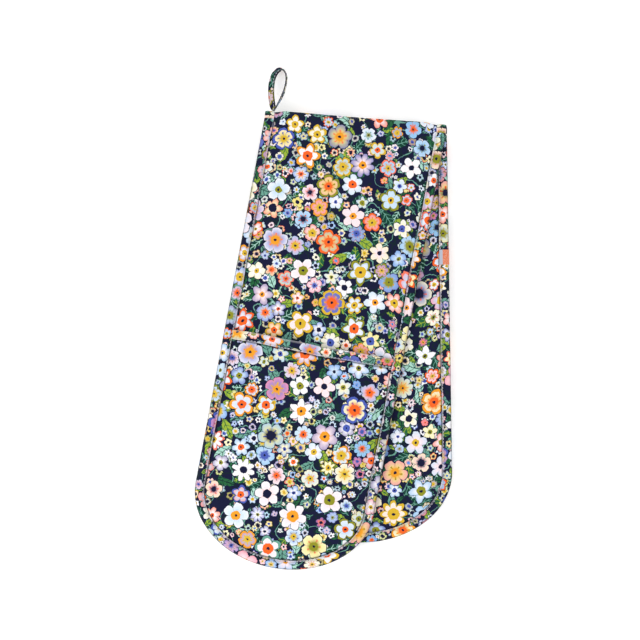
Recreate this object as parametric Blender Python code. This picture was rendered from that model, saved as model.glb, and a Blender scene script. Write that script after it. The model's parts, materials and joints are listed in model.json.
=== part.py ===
"""Double oven glove: a padded strip with a hand pocket at each end, folded across its middle and laid flat.

Metres, +Z up. Z = 0 is the surface that the glove lies on, and the origin is under the middle of its box.
+Y runs towards the fold. The lower half and its pocket are "rear", the upper half and its pocket "front".
Inside the glove a height is counted outwards from the fold's axis: up in the front half, down in the rear.
"""
import math

import bmesh
import bpy
from mathutils import Vector

MM = 0.001
UP = Vector((0, 0, 1))

# The strip, cut to one width and rounded at both ends
STRIP_WIDTH = 181 * MM
FRONT_LENGTH = 456.5 * MM       # crest of the fold to the tip of the rounded end
REAR_LENGTH = 424 * MM
POCKET_DEPTH = 227 * MM         # mouth to tip
END_REACH = 70 * MM             # length of the half ellipse at each end
END_STEPS = 20

# How it lies
CREST_MIDDLE = Vector((32.4 * MM, 199.6 * MM, 0))
CREST_TURN = math.radians(-4.9)     # the crest line's angle to +X
HALF_SPREAD = math.radians(5.8)     # each half's turn away from square to the crest

# Layers
FABRIC = 0.6 * MM
LINING = 0.5 * MM
TAPE = 0.6 * MM
THREAD = 0.4 * MM
WADDING = 4.4 * MM
POCKET_WADDING = 2.2 * MM
LAYER_GAP = 0.3 * MM
FOLD_GAP = 0.4 * MM             # fold axis to the nearest cloth of either half
HAND_SPACE = 4.6 * MM           # slack inside a pocket that lies flat

# Edges
BINDING_WIDTH = 9.5 * MM
STITCH_INSET = 7.6 * MM         # edge to the row of stitching
STITCH_WIDTH = 0.5 * MM
RIM_SLOPE = 4 * MM              # where the wadding thins towards the binding
MOUTH_SLOPE = 2.5 * MM
ARCH_WIDTH = 24 * MM            # where a pocket rises from its side seam to its full height
ARCH_STEPS = 4
FOLD_STEPS = 10

# Hanging loop, a folded tape
LOOP_OFFSET = -83.2 * MM        # along the crest from its middle
LOOP_HEIGHT = 44 * MM
LOOP_WIDTH = 14.4 * MM
LOOP_LEAN = math.radians(5.6)
LOOP_DROOP = 10.6 * MM
LOOP_STEPS = 36
LOOP_TAPE_WIDTH = 7 * MM
LOOP_TAPE = 1.4 * MM
LOOP_ROOT = 4 * MM              # sewn ends that stand out of the crest
LOOP_ENDS = 1 * MM              # the two ends pressed together by their stitches
LEFT_TILT = math.radians(55)
RIGHT_TILT = math.radians(12)
TILT_SPREAD = 4                 # power of the sine: keeps the tape upright near its sewn ends

# Side tag, folded over the rear half's edge
TAG_START = 132 * MM
TAG_LENGTH = 15 * MM
TAG_LEG = 10 * MM
TAG_HIDDEN_LEG = 6.5 * MM
TAG_CLOTH = 0.4 * MM

STRIP_THICKNESS = FABRIC + LAYER_GAP + WADDING + LAYER_GAP + FABRIC
STRIP_FACE = FOLD_GAP + STRIP_THICKNESS
POCKET_INSIDE = STRIP_FACE + HAND_SPACE
POCKET_OUTSIDE = POCKET_INSIDE + LINING + LAYER_GAP + POCKET_WADDING + LAYER_GAP + FABRIC
AXIS_HEIGHT = POCKET_OUTSIDE
ARCH_RISE = HAND_SPACE - LAYER_GAP
RIM_SHIFT = TAPE + LAYER_GAP
POCKET_INSET = BINDING_WIDTH + 2 * LAYER_GAP
START = -40 * MM                # outlines begin past the fold and are cut back to it

CREST = Vector((math.cos(CREST_TURN), math.sin(CREST_TURN), 0))
OUTWARD = UP.cross(CREST)
FOLD_AXIS = CREST_MIDDLE - OUTWARD * STRIP_FACE + UP * AXIS_HEIGHT
LOOP_PIVOT = CREST_MIDDLE + CREST * LOOP_OFFSET + OUTWARD * (LOOP_ROOT + LAYER_GAP / 2) + UP * AXIS_HEIGHT


class Half:
    """One half of the folded strip: s runs from the crest to the tip, r across, height away from the fold axis."""

    def __init__(self, name, length, turn, side):
        direction = CREST_TURN - math.pi / 2 + turn
        self.name = name
        self.length = length
        self.side = side
        self.mouth = length - POCKET_DEPTH
        self.along = Vector((math.cos(direction), math.sin(direction), 0))
        self.across = UP.cross(self.along)
        self.pocket_pivot = self.point(length - POCKET_INSET, 0, STRIP_FACE + LAYER_GAP / 2)

    def point(self, s, r, height):
        return CREST_MIDDLE + self.along * s + self.across * r + UP * (AXIS_HEIGHT + self.side * height)

    def distance(self, position):
        return (position - CREST_MIDDLE).dot(self.along)


FRONT = Half("front", FRONT_LENGTH, -HALF_SPREAD, 1)
REAR = Half("rear", REAR_LENGTH, HALF_SPREAD, -1)


def make_material(name, color, roughness):
    material = bpy.data.materials.new(name)
    material.use_nodes = True
    shader = material.node_tree.nodes["Principled BSDF"]
    shader.inputs["Base Color"].default_value = (*color, 1)
    shader.inputs["Roughness"].default_value = roughness
    material.diffuse_color = (*color, 1)
    return material


def add_object(name, bm, material, pivot, thickness=0):
    """Make the mesh an object with its origin at the pivot; a sheet gets its thickness half on each side."""
    bmesh.ops.recalc_face_normals(bm, faces=bm.faces)
    bmesh.ops.translate(bm, verts=bm.verts, vec=-pivot)
    mesh = bpy.data.meshes.new(name)
    bm.to_mesh(mesh)
    bm.free()
    mesh.materials.append(material)
    piece = bpy.data.objects.new(name, mesh)
    piece.location = pivot
    bpy.context.collection.objects.link(piece)
    if thickness:
        solidify = piece.modifiers.new("thickness", "SOLIDIFY")
        solidify.thickness = thickness
        solidify.offset = 0
        solidify.use_even_offset = True
    return piece


def add_face(bm, points):
    return bm.faces.new([bm.verts.new(point) for point in points])


def end_arc(half, inset):
    """(s, r) along the half ellipse that ends a half, from its +r side to its -r side."""
    middle = half.length - END_REACH
    arc = []
    for step in range(END_STEPS + 1):
        angle = math.pi * step / END_STEPS
        s = middle + (END_REACH - inset) * math.sin(angle)
        arc.append((s, (STRIP_WIDTH / 2 - inset) * math.cos(angle)))
    return arc


def strip_face(bm, half, inset, height):
    """Flat outline of a half that runs past the fold."""
    side = STRIP_WIDTH / 2 - inset
    outline = [(START, side)] + end_arc(half, inset) + [(START, -side)]
    return add_face(bm, [half.point(s, r, height) for s, r in outline])


def step_in(bm, face, width, lift=0):
    """Inset the face and raise what is inside by lift."""
    face.normal_update()
    bmesh.ops.inset_individual(bm, faces=[face], thickness=width, use_even_offset=True)
    bmesh.ops.translate(bm, verts=face.verts, vec=UP * lift)


def slice_mesh(bm, point, normal, clear=True):
    """Cut along a plane and, with clear, drop what lies on the side that the normal points to."""
    geometry = bm.verts[:] + bm.edges[:] + bm.faces[:]
    bmesh.ops.bisect_plane(bm, geom=geometry, dist=1e-6, plane_co=point, plane_no=normal, clear_outer=clear)


def cut_at_fold(bm, distance=LAYER_GAP):
    slice_mesh(bm, FOLD_AXIS - OUTWARD * distance, OUTWARD)


def cap_holes(bm):
    edges = [edge for edge in bm.edges if edge.is_boundary]
    bmesh.ops.edgeloop_fill(bm, edges=edges)


def strip_sheet(half, height, rim_shift):
    """Cloth over one side of a half, which steps in by rim_shift under the binding."""
    bm = bmesh.new()
    edge = TAPE + LAYER_GAP
    face = strip_face(bm, half, edge, height + rim_shift)
    step_in(bm, face, BINDING_WIDTH + LAYER_GAP - edge)
    step_in(bm, face, RIM_SLOPE, -rim_shift * half.side)
    cut_at_fold(bm)
    return bm


def strip_wadding(half):
    """Wadding of a half: a pad that thins to its rim on both sides."""
    bm = bmesh.new()
    edge = TAPE + LAYER_GAP
    low = FOLD_GAP + FABRIC + LAYER_GAP
    low_face = strip_face(bm, half, edge, low + RIM_SHIFT)
    extruded = bmesh.ops.extrude_face_region(bm, geom=[low_face])
    high_face = [item for item in extruded["geom"] if isinstance(item, bmesh.types.BMFace)][0]
    rim_thickness = WADDING - 2 * RIM_SHIFT
    bmesh.ops.translate(bm, verts=high_face.verts, vec=UP * rim_thickness * half.side)
    for face, lift in ((low_face, -RIM_SHIFT), (high_face, RIM_SHIFT)):
        step_in(bm, face, BINDING_WIDTH + LAYER_GAP - edge)
        step_in(bm, face, RIM_SLOPE, lift * half.side)
    cut_at_fold(bm)
    cap_holes(bm)
    return bm


def strip_binding(half):
    """Tape folded over the edge: a wall with a leg on each side of the strip."""
    bm = bmesh.new()
    low_face = strip_face(bm, half, TAPE / 2, FOLD_GAP + TAPE / 2)
    extruded = bmesh.ops.extrude_face_region(bm, geom=[low_face])
    high_face = [item for item in extruded["geom"] if isinstance(item, bmesh.types.BMFace)][0]
    bmesh.ops.translate(bm, verts=high_face.verts, vec=UP * (STRIP_THICKNESS - TAPE) * half.side)
    for face in (low_face, high_face):
        step_in(bm, face, BINDING_WIDTH - TAPE / 2)
    bmesh.ops.delete(bm, geom=[low_face, high_face], context="FACES")
    cut_at_fold(bm)
    return bm


def strip_stitching(half):
    """Row of stitching along the binding's inner edge, which stops short of the loop's sewn ends."""
    bm = bmesh.new()
    face = strip_face(bm, half, STITCH_INSET, STRIP_FACE + LAYER_GAP + THREAD / 2)
    step_in(bm, face, STITCH_WIDTH)
    bmesh.ops.delete(bm, geom=[face], context="FACES")
    cut_at_fold(bm, LOOP_TAPE_WIDTH / 2 + 2 * LAYER_GAP)
    return bm


def pocket_sheet(half, height, start):
    """Arched sheet of a pocket: low along the side seam, full height inside, cut square at the mouth.

    The outline is drawn with its mirror image past the mouth, so that the arch runs out to the cut.
    """
    bm = bmesh.new()
    arc = end_arc(half, POCKET_INSET)
    mirrored = [(2 * half.mouth - s, r) for s, r in reversed(arc)]
    face = add_face(bm, [half.point(s, r, height - ARCH_RISE) for s, r in arc + mirrored])
    risen = 0
    for step in range(1, ARCH_STEPS + 1):
        target = ARCH_RISE * (1 - math.cos(math.pi * step / ARCH_STEPS)) / 2
        step_in(bm, face, ARCH_WIDTH / ARCH_STEPS, (target - risen) * half.side)
        risen = target
    slice_mesh(bm, half.point(half.mouth + start, 0, 0), -half.along)
    return bm


def pocket_cloth(half, height, mouth_shift):
    """Sheet of a pocket that steps by mouth_shift into the binding of its mouth."""
    bm = pocket_sheet(half, height, TAPE + LAYER_GAP)
    step_start = half.mouth + BINDING_WIDTH + LAYER_GAP
    for s in (step_start, step_start + MOUTH_SLOPE):
        slice_mesh(bm, half.point(s, 0, 0), half.along, clear=False)
    for vert in bm.verts:
        if half.distance(vert.co) < step_start + MOUTH_SLOPE / 2:
            vert.co.z += mouth_shift * half.side
    return bm


def mouth_strip(half, height, start, end):
    bm = pocket_sheet(half, height, start)
    slice_mesh(bm, half.point(half.mouth + end, 0, 0), half.along)
    return bm


def mouth_binding(half, inner, outer):
    """Tape folded over the mouth's edge: an inner and an outer leg joined along the mouth."""
    bm = mouth_strip(half, inner, TAPE / 2, BINDING_WIDTH)
    other = mouth_strip(half, outer, TAPE / 2, BINDING_WIDTH)
    spare = bpy.data.meshes.new("spare")
    other.to_mesh(spare)
    other.free()
    bm.from_mesh(spare)
    bpy.data.meshes.remove(spare)
    limit = half.mouth + TAPE
    edges = [edge for edge in bm.edges if all(half.distance(vert.co) < limit for vert in edge.verts)]
    bmesh.ops.bridge_loops(bm, edges=edges)
    return bm


def fold_piece(section):
    """Turn a section of (position along the crest, radius) half way round the fold's axis."""
    bm = bmesh.new()
    add_face(bm, [FOLD_AXIS + CREST * along - UP * radius for along, radius in section])
    geometry = bm.verts[:] + bm.edges[:] + bm.faces[:]
    bmesh.ops.spin(bm, geom=geometry, cent=FOLD_AXIS, axis=CREST, angle=math.pi, steps=FOLD_STEPS)
    return bm


def fold_layer(inner, outer):
    reach = (STRIP_WIDTH / 2 - BINDING_WIDTH - LAYER_GAP) / math.cos(HALF_SPREAD)
    return fold_piece([(-reach, inner), (reach, inner), (reach, outer), (-reach, outer)])


def fold_binding(side):
    """Channel of tape round one end of the fold, open towards the middle of the strip."""
    near = side * (STRIP_WIDTH / 2 - BINDING_WIDTH) / math.cos(HALF_SPREAD)
    far = side * STRIP_WIDTH / 2 / math.cos(HALF_SPREAD)
    wall = far - side * TAPE
    low, high = FOLD_GAP, STRIP_FACE
    outside = [(near, low), (far, low), (far, high), (near, high)]
    inside = [(near, high - TAPE), (wall, high - TAPE), (wall, low + TAPE), (near, low + TAPE)]
    return fold_piece(outside + inside)


def loop_ends():
    """The two sewn ends of the loop's tape, one on the other, standing out of the crest."""
    bm = bmesh.new()
    lean = CREST * LOOP_ROOT / 2 * math.sin(LOOP_LEAN)
    root = CREST_MIDDLE + CREST * LOOP_OFFSET + lean + OUTWARD * LAYER_GAP + UP * AXIS_HEIGHT
    across = CREST * LOOP_ENDS / 2
    tall = UP * LOOP_TAPE_WIDTH / 2
    face = add_face(bm, [root - across - tall, root + across - tall, root + across + tall, root - across + tall])
    extruded = bmesh.ops.extrude_face_region(bm, geom=[face])
    verts = [item for item in extruded["geom"] if isinstance(item, bmesh.types.BMVert)]
    bmesh.ops.translate(bm, verts=verts, vec=OUTWARD * (LOOP_ROOT - LAYER_GAP))
    return bm


def loop_point(turn):
    """Middle of the tape: a teardrop with its point at the crest, leaning and drooping to its far end."""
    rise = LOOP_HEIGHT * (1 - math.cos(turn)) / 2
    widest = 0.77                       # greatest value of sin(turn) * sin(turn / 2)
    sideways = -LOOP_WIDTH / 2 / widest * math.sin(turn) * math.sin(turn / 2)
    ahead = OUTWARD * math.cos(LOOP_LEAN) + CREST * math.sin(LOOP_LEAN)
    beside = CREST * math.cos(LOOP_LEAN) - OUTWARD * math.sin(LOOP_LEAN)
    droop = LOOP_DROOP * (rise / LOOP_HEIGHT) ** 1.5
    root = CREST_MIDDLE + CREST * LOOP_OFFSET + UP * (AXIS_HEIGHT - droop)
    return root + ahead * rise + beside * sideways


def hanging_loop():
    """Tape carried round the teardrop on its edge, tilted to show its face along the left strand."""
    bm = bmesh.new()
    first = math.acos(1 - 2 * (LOOP_ROOT + LAYER_GAP) / LOOP_HEIGHT)
    small = 0.01
    rings = []
    for step in range(LOOP_STEPS + 1):
        turn = first + (2 * math.pi - 2 * first) * step / LOOP_STEPS
        tangent = (loop_point(turn + small) - loop_point(turn - small)).normalized()
        flat = tangent.cross(UP).normalized()
        upright = flat.cross(tangent)
        tilt = (LEFT_TILT if turn < math.pi else RIGHT_TILT) * math.sin(turn) ** TILT_SPREAD
        wide = (upright * math.cos(tilt) + flat * math.sin(tilt)) * LOOP_TAPE_WIDTH / 2
        thick = (flat * math.cos(tilt) - upright * math.sin(tilt)) * LOOP_TAPE / 2
        corners = [wide + thick, wide - thick, -wide - thick, -wide + thick]
        rings.append([bm.verts.new(loop_point(turn) + corner) for corner in corners])
    for ring, following in zip(rings, rings[1:]):
        for corner in range(4):
            after = (corner + 1) % 4
            bm.faces.new([ring[corner], ring[after], following[after], following[corner]])
    bm.faces.new(rings[0])
    bm.faces.new(rings[-1])
    return bm


def side_tag():
    """Woven tag folded over the rear half's +X edge, with its long leg on the side that faces the fold's inside."""
    bm = bmesh.new()
    edge = STRIP_WIDTH / 2 + LAYER_GAP + TAG_CLOTH / 2
    shown = FOLD_GAP - LAYER_GAP - TAG_CLOTH / 2
    hidden = STRIP_FACE + LAYER_GAP + TAG_CLOTH / 2
    profile = [(edge - TAG_LEG, shown), (edge, shown), (edge, hidden), (edge - TAG_HIDDEN_LEG, hidden)]
    rows = []
    for s in (TAG_START, TAG_START + TAG_LENGTH):
        rows.append([bm.verts.new(REAR.point(s, r, height)) for r, height in profile])
    for corner in range(len(profile) - 1):
        bm.faces.new([rows[0][corner], rows[0][corner + 1], rows[1][corner + 1], rows[1][corner]])
    return bm


def build_half(half, pivot, print_cloth, tape_cloth, wadding, thread):
    name = half.name
    back_height = FOLD_GAP + FABRIC / 2
    face_height = STRIP_FACE - FABRIC / 2
    back = strip_sheet(half, back_height, RIM_SHIFT)
    add_object(name + "_back_fabric", back, print_cloth, pivot, FABRIC)
    add_object(name + "_wadding", strip_wadding(half), wadding, pivot)
    face = strip_sheet(half, face_height, -RIM_SHIFT)
    add_object(name + "_face_fabric", face, print_cloth, pivot, FABRIC)
    add_object(name + "_edge_binding", strip_binding(half), tape_cloth, pivot, TAPE)
    add_object(name + "_edge_stitching", strip_stitching(half), thread, pivot, THREAD)


def build_pocket(half, pivot, print_cloth, tape_cloth, wadding, lining, thread):
    name = half.name + "_pocket"
    lining_height = POCKET_INSIDE + LINING / 2
    wadding_height = POCKET_INSIDE + LINING + LAYER_GAP + POCKET_WADDING / 2
    fabric_height = POCKET_OUTSIDE - FABRIC / 2
    # In the mouth the lining and the fabric lie together between the binding's two legs.
    inner_leg = POCKET_INSIDE + TAPE / 2
    lining_at_mouth = inner_leg + TAPE / 2 + LAYER_GAP + LINING / 2
    fabric_at_mouth = lining_at_mouth + LINING / 2 + 0.2 * MM + FABRIC / 2
    outer_leg = fabric_at_mouth + FABRIC / 2 + LAYER_GAP + TAPE / 2
    stitching = outer_leg + TAPE / 2 + LAYER_GAP + THREAD / 2

    lining_sheet = pocket_cloth(half, lining_height, lining_at_mouth - lining_height)
    add_object(name + "_lining", lining_sheet, lining, pivot, LINING)
    wadding_start = BINDING_WIDTH + LAYER_GAP + MOUTH_SLOPE
    add_object(name + "_wadding", pocket_sheet(half, wadding_height, wadding_start), wadding, pivot, POCKET_WADDING)
    fabric_sheet = pocket_cloth(half, fabric_height, fabric_at_mouth - fabric_height)
    add_object(name + "_fabric", fabric_sheet, print_cloth, pivot, FABRIC)
    binding = mouth_binding(half, inner_leg, outer_leg)
    add_object(name + "_mouth_binding", binding, tape_cloth, pivot, TAPE)
    row = mouth_strip(half, stitching, STITCH_INSET, STITCH_INSET + STITCH_WIDTH)
    add_object(name + "_mouth_stitching", row, thread, pivot, THREAD)


def build_fold(print_cloth, tape_cloth, wadding):
    wadding_inside = FOLD_GAP + FABRIC + LAYER_GAP
    layers = {
        "fold_back_fabric": (FOLD_GAP, FOLD_GAP + FABRIC, print_cloth),
        "fold_wadding": (wadding_inside, wadding_inside + WADDING, wadding),
        "fold_face_fabric": (STRIP_FACE - FABRIC, STRIP_FACE, print_cloth),
    }
    for name, (inner, outer, material) in layers.items():
        add_object(name, fold_layer(inner, outer), material, FOLD_AXIS)
    add_object("fold_binding_left", fold_binding(-1), tape_cloth, FOLD_AXIS)
    add_object("fold_binding_right", fold_binding(1), tape_cloth, FOLD_AXIS)
    add_object("hanging_loop_ends", loop_ends(), tape_cloth, FOLD_AXIS)
    add_object("hanging_loop", hanging_loop(), tape_cloth, LOOP_PIVOT)


def main():
    for piece in list(bpy.data.objects):
        bpy.data.objects.remove(piece, do_unlink=True)
    print_cloth = make_material("printed_cotton", (0.16, 0.17, 0.24), 0.9)
    tape_cloth = make_material("bias_tape_cotton", (0.22, 0.22, 0.28), 0.9)
    wadding = make_material("polyester_wadding", (0.82, 0.81, 0.78), 1.0)
    lining = make_material("plain_cotton_lining", (0.72, 0.68, 0.6), 0.95)
    thread = make_material("polyester_thread", (0.03, 0.035, 0.06), 0.6)
    tag_cloth = make_material("woven_tag", (0.8, 0.32, 0.12), 0.7)

    build_pocket(REAR, REAR.pocket_pivot, print_cloth, tape_cloth, wadding, lining, thread)
    build_half(REAR, REAR.pocket_pivot, print_cloth, tape_cloth, wadding, thread)
    add_object("side_tag", side_tag(), tag_cloth, REAR.pocket_pivot, TAG_CLOTH)
    build_fold(print_cloth, tape_cloth, wadding)
    build_half(FRONT, FOLD_AXIS, print_cloth, tape_cloth, wadding, thread)
    build_pocket(FRONT, FRONT.pocket_pivot, print_cloth, tape_cloth, wadding, lining, thread)


main()
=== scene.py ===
# Double oven glove: a padded strip of printed cotton, a hand pocket at each end, folded once and laid flat
import json
import math

import bmesh
import bpy
import numpy as np
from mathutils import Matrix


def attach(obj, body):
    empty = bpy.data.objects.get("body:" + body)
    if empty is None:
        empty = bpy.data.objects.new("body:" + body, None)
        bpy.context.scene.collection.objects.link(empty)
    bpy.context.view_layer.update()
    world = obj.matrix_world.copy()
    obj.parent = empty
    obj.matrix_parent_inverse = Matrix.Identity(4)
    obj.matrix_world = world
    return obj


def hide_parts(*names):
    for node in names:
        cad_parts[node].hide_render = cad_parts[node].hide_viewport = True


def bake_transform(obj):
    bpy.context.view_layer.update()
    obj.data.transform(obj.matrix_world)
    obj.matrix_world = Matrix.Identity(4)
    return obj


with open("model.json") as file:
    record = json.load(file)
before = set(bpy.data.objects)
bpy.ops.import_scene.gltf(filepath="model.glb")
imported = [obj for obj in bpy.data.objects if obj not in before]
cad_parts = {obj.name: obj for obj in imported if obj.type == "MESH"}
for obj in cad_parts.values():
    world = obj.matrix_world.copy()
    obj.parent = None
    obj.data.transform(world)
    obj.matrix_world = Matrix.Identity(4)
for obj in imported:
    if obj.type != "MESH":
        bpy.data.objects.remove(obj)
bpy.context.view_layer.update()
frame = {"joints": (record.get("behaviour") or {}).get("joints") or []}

scene = bpy.context.scene
joints = {joint["name"]: joint for joint in frame["joints"]}
up = np.array([0.0, 0.0, 1.0])

# Sizes in millimetres, the same as the frame's. Heights are counted away from the fold's axis.
glove = {
    "width": 181.0,
    "pocketDepth": 227.0,
    "endReach": 70.0,           # length of the half ellipse at each end
    "pivotInset": 10.1,         # a pocket's hinge line to the tip
    "bindingWidth": 9.5,
    "faceHeight": 6.6,          # outer cloth of the strip, and the fold's outer radius
    "backHeight": 0.4,          # cloth next to the fold plane
    "cloth": 0.6,
    "skewLength": 60.0,         # rows near the fold turn to lie along it
    "tipRun": 82.0,             # outline passed in one radian of turn round a tip
    "foldBulge": 1.25,          # the roll of the fold stands out further than it is thick
    "foldSpread": 0.22,         # and this much further again at the side where the halves part
    "spreadOver": 90.0,         # from the crest's middle to its end
    "foldLead": 0.62,           # most of the roll runs on in the upper half's direction
    "seamShade": 0.85,          # how dark the painted shade at the bottom of a seam is
    "uvScale": 0.01,            # one UV unit is 100 mm of cloth
}

# where on the printed cloth each piece is cut, in millimetres, so that no two show the same flowers
cutAt = {"back": (611.0, 47.0), "tape": (900, -400), "tapeApart": 300, "pocket": 340.0,
         "mouth": (250.0, 130.0), "loop": (1500, 760)}


def unit(vector):
    # the same direction, one long
    vector = np.array(vector, float)
    return vector / np.linalg.norm(vector)


def smooth(x):
    # 0 below 0, 1 above 1, and an even S between
    x = np.clip(x, 0, 1)
    return x * x * (3 - 2 * x)


def linear(hexColor):
    # an sRGB hex value as the linear colour that a shader takes
    channels = [int(hexColor[i:i + 2], 16) / 255 for i in (1, 3, 5)]
    return [c / 12.92 if c <= 0.04045 else ((c + 0.055) / 1.055) ** 2.4 for c in channels] + [1.0]


foldAt = np.array(joints["centre_fold"]["pos_m"]) * 1000
crest = unit(-np.array(joints["centre_fold"]["axis"]))
outward = np.cross(up, crest)
crestMiddle = foldAt + outward * glove["faceHeight"]


def makeHalf(name, side):
    # one half's own directions: s runs from the crest to the tip, r across, h away from the fold plane
    hinge = joints[name + "_pocket_mouth"]
    across = unit(hinge["axis"])
    along = np.cross(across, up)
    reach = (np.array(hinge["pos_m"]) * 1000 - crestMiddle) @ along
    length = reach + glove["pivotInset"]
    return {"name": name, "side": side, "along": along, "across": across, "length": length,
            "mouth": length - glove["pocketDepth"], "body": name + "_half", "pocket": name + "_pocket"}


front = makeHalf("front", 1)
rear = makeHalf("rear", -1)


def place(half, s, r, h):
    # crest middle + s along + r across + h up or down from the fold plane
    s, r, h = np.broadcast_arrays(s, r, h)
    flat = crestMiddle + s[..., None] * half["along"] + r[..., None] * half["across"]
    return flat + (half["side"] * h)[..., None] * up


def foldStart(half, r):
    # the s at which the line r = constant crosses the fold axis
    return (glove["faceHeight"] + r * (half["across"] @ outward)) / -(half["along"] @ outward)


def alongCrest(half, r):
    # how far along the crest the line r = constant crosses the fold axis
    flat = foldStart(half, r)[..., None] * half["along"] + r[..., None] * half["across"]
    return flat @ crest


def edgeDistance(half, s, r):
    # distance to the outline: straight sides, then first-order distance to the ellipse
    wide, reach = glove["width"] / 2, glove["endReach"]
    past = np.maximum(s - (half["length"] - reach), 0)
    q = np.sqrt((past / reach) ** 2 + (r / wide) ** 2)
    slope = np.sqrt((past / reach ** 2) ** 2 + (r / wide ** 2) ** 2) / np.maximum(q, 1e-6)
    atTip = (1 - q) / np.maximum(slope, 1e-6)
    return np.clip(np.where(past > 0, atTip, wide - np.abs(r)), 0, 60)


def edgeRun(half, s, r):
    # position along the outline: s on the sides, then the turn round the ellipse
    wide, reach = glove["width"] / 2, glove["endReach"]
    past = np.maximum(s - (half["length"] - reach), 0)
    turn = np.arctan2(past / reach, np.abs(r) / wide + 1e-9)
    return np.minimum(s, half["length"] - reach) + glove["tipRun"] * turn


def settle(half, s, r):
    # slow rises and dips of padded cloth that was folded in storage, never below zero
    phase = 0.0 if half["side"] > 0 else 1.9
    wave = (np.sin(s / 31 + r / 55 + phase) + np.sin(s / 19 - r / 37 + 2.1 * phase + 1)
            + 0.7 * np.sin(r / 17 + s / 90 + phase))
    return np.maximum(0.5 + 0.22 * wave, 0) * smooth((s - 25) / 60)


def pucker(half, s, r, start=9.0, width=9.0):
    # short ripples square to the seam, which die out away from it
    d = edgeDistance(half, s, r)
    run = edgeRun(half, s, r) + 40 * (r > 0)
    ripple = np.sin(run * 2 * math.pi / 8.5 + 1.3 * np.sin(run / 23)) + 0.6 * np.sin(run * 2 * math.pi / 13.7)
    return 0.22 * ripple * np.exp(-((d - start) / width) ** 2)


def rim(d):
    # 1 at the outline, falling as an even S to 0 at 21 mm from it
    return smooth((21 - d) / 12)


def faceTop(half, s, r):
    # outer cloth: crowned in the middle, drawn down to the seam of the binding
    d = edgeDistance(half, s, r)
    quiet = smooth((s - 14) / 20)
    crown = 0.6 * smooth(d / 50) * quiet
    return glove["faceHeight"] + crown - 1.5 * rim(d) + (settle(half, s, r) + pucker(half, s, r)) * quiet


def backTop(half, s, r):
    # cloth by the fold plane: only ever dips away from the plane, most along the seam
    d = edgeDistance(half, s, r)
    quiet = smooth((s - 14) / 20)
    dip = 0.45 + 0.45 * np.sin(s / 21 + r / 33) + pucker(half, s, r)
    return glove["backHeight"] + 1.3 * rim(d) + np.maximum(dip, 0) * 0.6 * quiet


# distances in from the outline at which the grids have a column: close together at the seam of the binding
columnsAt = np.array([0.0, 1.5, 3.0, 4.6, 6.2, 7.4, 8.3, 9.0, 9.6, 10.2, 10.9, 11.7, 12.7, 14.0, 15.6, 17.6,
                      20.0, 22.8, 26.0, 29.6, 33.5, 38.0, 43.0, 48.5, 54.5, 61.0, 68.0, 75.5, 83.0, 90.5])


def halfGrid(half, side, inset, step, begin=None):
    # s, r and inset over one side of a half: columns keep their distance from the outline, straight along the
    # side and then as quarter ellipses round the tip, and close up on the middle line
    wide, reach, near = glove["width"] / 2, glove["endReach"], 15.0
    d = np.concatenate([[inset], columnsAt[columnsAt > inset + 0.4]])
    endReach = np.where(d < near, reach - d, (reach - near) * (wide - d) / (wide - near))
    straight = half["length"] - reach
    if begin is None:
        skew = glove["skewLength"]
        turning = np.linspace(0, 1, int(skew / step) + 1)[:, None]
        start = foldStart(half, side * (wide - d))[None]
        s = start + (skew - start) * turning
        rest = np.linspace(skew, straight, int((straight - skew) / step) + 1)[1:, None]
    else:
        s = np.repeat(np.array(begin, float)[:, None], len(d), 1)
        rest = np.linspace(begin[-1], straight, int((straight - begin[-1]) / step) + 1)[1:, None]
    turn = np.linspace(0, math.pi / 2, 36)[1:, None]
    r = np.vstack([np.repeat((wide - d)[None], len(s) + len(rest), 0), (wide - d) * np.cos(turn)])
    s = np.vstack([s, np.repeat(rest, len(d), 1), straight + endReach * np.sin(turn)])
    return s, side * r


def gridFaces(rows, columns, first=0):
    # one four-sided face between each two rows and two columns
    index = first + np.arange(rows * columns).reshape(rows, columns)
    corners = [index[:-1, :-1], index[1:, :-1], index[1:, 1:], index[:-1, 1:]]
    return np.stack(corners, -1).reshape(-1, 4)


def ribbonFaces(a, b):
    # a band of faces between two lines of points
    return np.stack([a[:-1], a[1:], b[1:], b[:-1]], -1)


def addPiece(name, points, faces, uv, material, paintedLight=None, mergeWithin=2e-6):
    # a closed mesh in metres with its UV map in cut cloth, poles merged and faces turned outwards
    mesh = bpy.data.meshes.new(name)
    mesh.from_pydata((points * 0.001).tolist(), [], faces.tolist())
    layer = mesh.uv_layers.new(name="cloth")
    corner = np.zeros(len(mesh.loops), np.int32)
    mesh.loops.foreach_get("vertex_index", corner)
    layer.data.foreach_set("uv", (uv[corner] * glove["uvScale"]).astype(np.float32).ravel())
    # painted shade and painted highlight, one value per point, which the printed cotton reads
    if paintedLight is not None:
        paintedLightValues = mesh.attributes.new("paintedLight", "FLOAT", "POINT")
        paintedLightValues.data.foreach_set("value", np.ravel(paintedLight).astype(np.float32))
    bm = bmesh.new()
    bm.from_mesh(mesh)
    bmesh.ops.remove_doubles(bm, verts=bm.verts, dist=mergeWithin)
    bmesh.ops.dissolve_degenerate(bm, edges=bm.edges, dist=1e-7)
    bmesh.ops.recalc_face_normals(bm, faces=bm.faces)
    bm.to_mesh(mesh)
    bm.free()
    mesh.shade_smooth()
    mesh.set_sharp_from_angle(angle=math.radians(55))
    mesh.materials.append(material)
    piece = bpy.data.objects.new(name, mesh)
    scene.collection.objects.link(piece)
    return piece


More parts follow.
